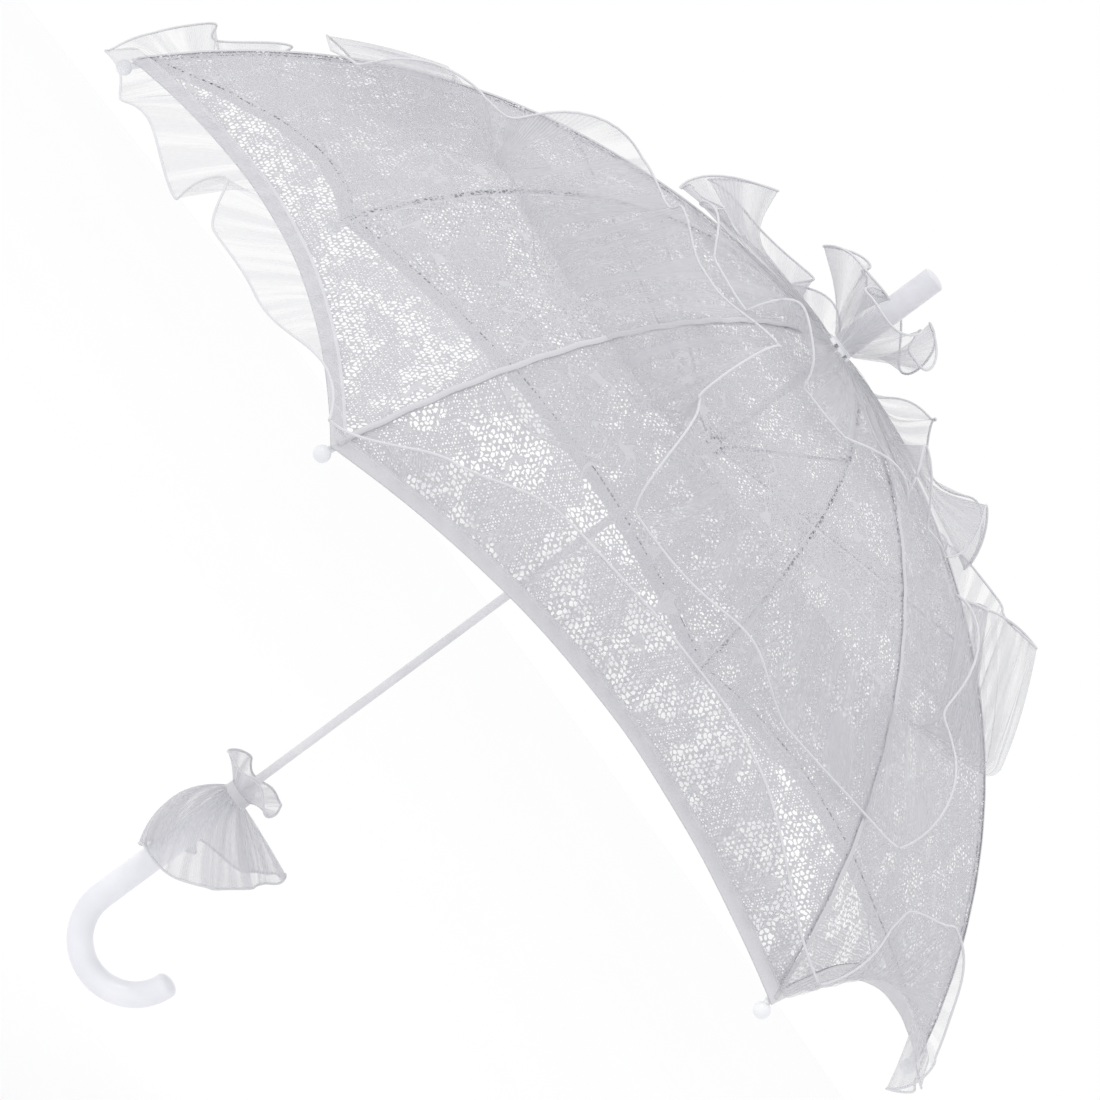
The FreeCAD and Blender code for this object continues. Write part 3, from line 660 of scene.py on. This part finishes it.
def ruffle_line(ring, azimuth, steps):
    """Section of a ruffle, from its stitched edge to its corded one, as a list of points."""
    point, down, off = base_of(ring, azimuth)
    lean = lean_of(ring, azimuth)
    along = Vector((-math.sin(azimuth), math.cos(azimuth), 0))
    width = ring["width"] * (1 + 0.10 * math.sin(3 * azimuth + ring["seed"]))
    width *= 1 - ring["bunch"] * math.sin(lean) ** 2
    width *= 1 - ring["tuck"] * near_rib(azimuth)
    drift = ring["drift"] * swell(azimuth, ring["drifts"])
    upright = math.radians(ring["rise"])
    line = [point.copy()]
    for step in range(steps):
        share = (step + 0.5) / steps
        flop = max(0.0, min(1.0, (share - ring["hold"]) / ring["flop"]))
        follow = width * share / OUTER["radius"] * math.cos(lean)
        angle = upright + (lean - upright) * eased(flop) - follow
        point = point + (down * math.cos(angle) + off * math.sin(angle)) * (width / steps)
        line.append(point.copy())
    for index, spot in enumerate(line):
        share = index / steps
        pleat = ring["pleat"] * math.sin(ring["pleats"] * azimuth + ring["seed"])
        pleat += 0.6 * ring["pleat"] * math.sin(ring["pleats"] * 1.37 * azimuth)
        fade = share * (1 - share) * 3 * (1 - 0.5 * share)
        spot += along * (drift * share * share) + (down + off) * (pleat * fade)
    return line


def build_ruffle(ring, k, body, replaced):
    """Sector k of a ruffle and the cord along its free edge."""
    first = FIRST_RIB + k * SECTOR
    columns, rows = ring["grid"]
    lines = [ruffle_line(ring, first + SECTOR * i / columns, rows) for i in range(columns + 1)]
    number = k + 1

    def place(u, w):
        return lines[round(u * columns)][round(w * rows)]

    def flat(u, w):
        return (ring["cut"] * (u + k), w * ring["width"])

    cloth = grid("%s_ruffle_cloth_%d" % (ring["name"], number), columns, rows, place, flat,
                 ring["look"])
    edge = tube("%s_ruffle_cord_%d" % (ring["name"], number), [line[-1] for line in lines],
                CORD_RADIUS, CORD)
    if replaced:
        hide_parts("%s_%d" % (replaced, number))
    fold_with_ribs(cloth, "%s_%d" % (body, number))
    fold_with_ribs(edge, "%s_%d" % (body, number))


# A ring's lean is a list of (azimuth, lean) keys in degrees. Its waves and drifts are terms of
# swell: waves in degrees of lean, drifts as shares of the distance drift, sideways. The section
# leaves the stitches at the angle rise, holds it for the share hold of its width, and turns to
# the lean over the share flop. Bunch and tuck are the shares of the width lost to gathering
# where it stands up, and at a rib's tip. Cut is the length of a sector's strip.
MID_RUFFLE = {
    "name": "mid", "on_hem": False, "along": along_at(0.270), "width": 0.092, "cut": 0.30,
    "lean": [(0, 170), (12, 156), (24, 166), (42, 168), (60, 60), (75, 20), (102, 8), (162, 5),
             (170, 9), (178, 5), (188, 5), (199, 8), (207, 60), (216, 160), (226, 171), (240, 172),
             (258, 166), (266, 90), (274, 16), (290, 7), (312, 7), (320, 60), (330, 162),
             (345, 171)],
    "waves": [(9, 5, 0.4), (5, 3, 1.9), (16, 4, 2.2)], "least": 4, "most": 176,
    "bunch": 0.68, "tuck": 0.0,
    "drift": 0.022, "drifts": [(7, 0.7, 1.9), (13, 0.5, 0.3)], "rise": 90, "hold": 0.0, "flop": 0.14,
    "pleat": 0.0017, "pleats": 150, "seed": 1.3, "look": ORGANZA, "grid": (150, 18)}
HEM_RUFFLE = {
    "name": "hem", "on_hem": True, "inset": 0.008, "width": 0.062, "cut": 0.33,
    "lean": [(12, 6), (25, 38), (42, 44), (60, 40), (80, 60), (102, 40), (120, 55), (132, 60),
             (150, 74), (160, 104), (166, 72), (172, 112), (177, 66), (183, 106), (188, 60),
             (193, 4), (205, 18), (217, 8), (223, 54), (228, 26), (236, 38), (246, 48),
             (253, 56), (260, 120), (268, 164), (284, 168), (304, 166), (320, 162), (340, 150),
             (349, 60), (355, 10)],
    "waves": [(9, 7, 0.2), (4, 4, 2.9), (19, 5, 1.2)], "least": 4, "most": 170,
    "bunch": 0.28, "tuck": 0.60,
    "drift": 0.012, "drifts": [(9, 0.7, 1.4), (15, 0.5, 0.9)], "rise": 70, "hold": 0.0, "flop": 0.5,
    "pleat": 0.0016, "pleats": 190, "seed": 2.7, "look": ORGANZA, "grid": (170, 14)}
CROWN_RUFFLE = {
    "name": "crown", "on_hem": False, "along": along_at(0.024), "width": 0.122, "cut": 0.12,
    "lean": [(12, 20), (30, 42), (48, 46), (70, 28), (102, 20), (130, 40), (150, 44),
             (170, 22), (222, 10), (282, 12), (330, 18)],
    "waves": [(7, 18, 0.9), (11, 13, 2.1), (16, 8, 0.5)], "least": 3, "most": 86,
    "bunch": 0.22, "tuck": 0.0,
    "drift": 0.020, "drifts": [(7, 0.7, 2.6), (11, 0.5, 0.1)], "rise": 3, "hold": 0.5,
    "flop": 0.4,
    "pleat": 0.0012, "pleats": 60, "seed": 0.6, "look": ORGANZA_CLOSE,
    "grid": (60, 16)}


# ---------------------------------------------------------------- frills round the stick
COLLAR_WIDTH = 0.048
COLLAR_RADIUS = 0.0092      # its stitched edge, round the top notch
COLLAR_LIFT = 0.0062        # that edge over the crown
FRILL_WIDTH = 0.062
FRILL_LIFT = 0.0006         # stitched edge of the frill off its band
HEADER_WIDTH = 0.018
HEADER_LIFT = 0.0004


def closed_frill(name, columns, rows, line_at, cut, width):
    """Frill that runs all the way round the stick, with its edge cord."""
    lines = [line_at(2 * math.pi * i / columns, rows) for i in range(columns)]
    lines.append(lines[0])

    def place(u, w):
        return lines[round(u * columns)][round(w * rows)]

    def flat(u, w):
        return (u * cut, w * width)

    look = ORGANZA_FULL if name.startswith("grip") else ORGANZA_CLOSE
    cloth = grid(name + "_cloth", columns, rows, place, flat, look)
    edge = tube(name + "_cord", [line[-1] for line in lines], CORD_RADIUS, CORD)
    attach(cloth, "stick")
    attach(edge, "stick")
    return cloth, edge


def collar_line(azimuth, rows):
    """Section of the collar that stands in loops round the foot of the ferrule."""
    out = Vector((math.cos(azimuth), math.sin(azimuth), 0))
    along = Vector((-math.sin(azimuth), math.cos(azimuth), 0))
    waves = swell(azimuth, [(5, 26, 0.5), (3, 12, 2.0), (11, 7, 1.0)])
    width = COLLAR_WIDTH + 0.006 * math.sin(4 * azimuth + 1.0)
    line = [out * COLLAR_RADIUS + Vector((0, 0, CROWN + COLLAR_LIFT))]
    for step in range(rows):
        share = (step + 0.5) / rows
        angle = math.radians(44 + (58 + waves - 44) * min(1.0, 1.4 * share))
        way = out * math.cos(angle) + Vector((0, 0, math.sin(angle)))
        way += along * 0.35 * math.sin(5 * azimuth + 1.2) * share
        line.append(line[-1] + way.normalized() * width / rows)
    return line


def handle_frill_line(azimuth, rows):
    """Section of the frill tied round the top of the grip, fallen to the crook's side."""
    out = Vector((math.cos(azimuth), math.sin(azimuth), 0))
    along = Vector((-math.sin(azimuth), math.cos(azimuth), 0))
    fall = Vector((0.80, 0, -0.60))    # down, while the parasol is held tilted
    far = (1 - math.cos(azimuth)) / 2
    width = 0.050 + 0.019 * min(1.0, 2 * far)
    waves = swell(azimuth, [(4, 0.34, 0.6), (7, 0.22, 1.1), (11, 0.10, 0.4)])
    start = out * (BAND_HIGH.x + FRILL_LIFT)
    start.z = BAND_LOW.z
    line = [start]
    for step in range(rows):
        share = (step + 0.5) / rows
        way = out * (0.95 - 0.10 * far - 0.55 * share)
        way += fall * ((0.20 + 1.0 * share) * min(1.0, 0.3 + 1.2 * far))
        way += Vector((0, 0, -0.70 * far * (1 - share)))
        way += out * (0.5 * waves * share) + along * (0.6 * waves * share)
        line.append(line[-1] + way.normalized() * (width / rows))
    return line


def handle_header_line(azimuth, rows):
    """Section of the short upper edge of that frill, which stands up over its band."""
    out = Vector((math.cos(azimuth), math.sin(azimuth), 0))
    waves = swell(azimuth, [(3, 0.45, 0.2), (5, 0.30, 1.9)])
    start = out * (BAND_HIGH.x + HEADER_LIFT)
    start.z = BAND_HIGH.z
    line = [start]
    for step in range(rows):
        share = (step + 0.5) / rows
        way = out * (0.75 - 0.5 * waves * share) + Vector((0, 0, 0.62 + 0.8 * waves * share))
        line.append(line[-1] + way.normalized() * (HEADER_WIDTH / rows))
    return line


def build_frills():
    """Collar at the ferrule, and the frill on the grip with its short upper edge."""
    for name, columns, rows, line_at, width, cut, node, rest in (
            ("crown_collar", 168, 12, collar_line, COLLAR_WIDTH, 0.19, "crown_ruffle",
             "top_notch"),
            ("grip_frill", 200, 16, handle_frill_line, FRILL_WIDTH, 0.27, "handle_frill",
             "frill_band"),
            ("grip_header", 120, 8, handle_header_line, HEADER_WIDTH, 0.11, "handle_frill",
             "frill_band")):
        cloth, edge = closed_frill(name, columns, rows, line_at, cut, width)
        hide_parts(node)
        for piece in (cloth, edge):
            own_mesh(piece)


# ---------------------------------------------------------------- floor, light and camera
FLOOR_DROP = 0.20    # the parasol is held in the hand, so its crook clears the floor


def build_stage():
    """Pale floor, white surroundings and one soft light."""
    low = CAD_BOX[0].z
    bpy.ops.mesh.primitive_circle_add(vertices=96, radius=4.0, fill_type="NGON",
                                      location=(0, 0, low - FLOOR_DROP))
    floor = bpy.context.object
    floor.name = "floor"
    shader = Shader("pale_floor")
    place = shader.node("TexCoord", {}, {}).outputs["Object"]
    cloudy = shader.noise(place, 0.3, 2.0, "3D")
    colour = shader.blend(cloudy, (0.96, 0.96, 0.965, 1.0), (0.98, 0.98, 0.985, 1.0))
    floor.data.materials.append(shader.done(shader.solid(colour, 0.9)))
    world = bpy.data.worlds.new("studio")
    bpy.context.scene.world = world
    world.use_nodes = True
    world.node_tree.nodes["Background"].inputs["Color"].default_value = (1.0, 1.0, 1.0, 1.0)
    world.node_tree.nodes["Background"].inputs["Strength"].default_value = 1.0
    lamp = bpy.data.lights.new("soft_box", "AREA")
    lamp.energy = 14.0
    lamp.size = 1.2
    light = bpy.data.objects.new("soft_box", lamp)
    light.location = (-1.6, -1.4, 2.0)
    light.rotation_euler = (Vector((0, 0, 0.3)) - light.location).to_track_quat("-Z", "Y").to_euler()
    bpy.context.scene.collection.objects.link(light)


def build_camera():
    """Camera low in front, rolled so that the shaft leans to the upper right."""
    elevation = math.radians(6.8)
    roll = math.radians(53.46)
    distance = 3.0
    below_crown = 0.200
    shift_right = 0.0128
    shift_up = 0.0012
    back = Vector((0, -math.cos(elevation), math.sin(elevation)))
    level = Vector((1, 0, 0))
    rise = back.cross(level)
    right = level * math.cos(roll) + rise * math.sin(roll)
    up = rise * math.cos(roll) - level * math.sin(roll)
    aim = Vector((0, 0, CROWN - below_crown)) - right * shift_right - up * shift_up
    camera = bpy.data.cameras.new("camera")
    camera.lens = 161.4
    camera.sensor_width = 36.0
    camera.clip_start = 0.05
    holder = bpy.data.objects.new("camera", camera)
    turn = Matrix((right, up, back)).transposed().to_4x4()
    holder.matrix_world = Matrix.Translation(aim + back * distance) @ turn
    bpy.context.scene.collection.objects.link(holder)
    bpy.context.scene.camera = holder


def set_look():
    """Plain colours, and enough bounces to see through the many layers of cloth."""
    scene = bpy.context.scene
    scene.view_settings.view_transform = "Standard"
    scene.cycles.transparent_max_bounces = 48
    scene.cycles.max_bounces = 10


dress_nodes()
for panel in range(RIBS):
    build_lace(panel)
    build_hem_band(panel)
    build_seam(panel)
    build_ruffle(MID_RUFFLE, panel, "panel_end", "mid_ruffle")
    build_ruffle(HEM_RUFFLE, panel, "panel_end", "hem_ruffle")
    build_ruffle(CROWN_RUFFLE, panel, "panel", None)
build_frills()
build_stage()
build_camera()
set_look()
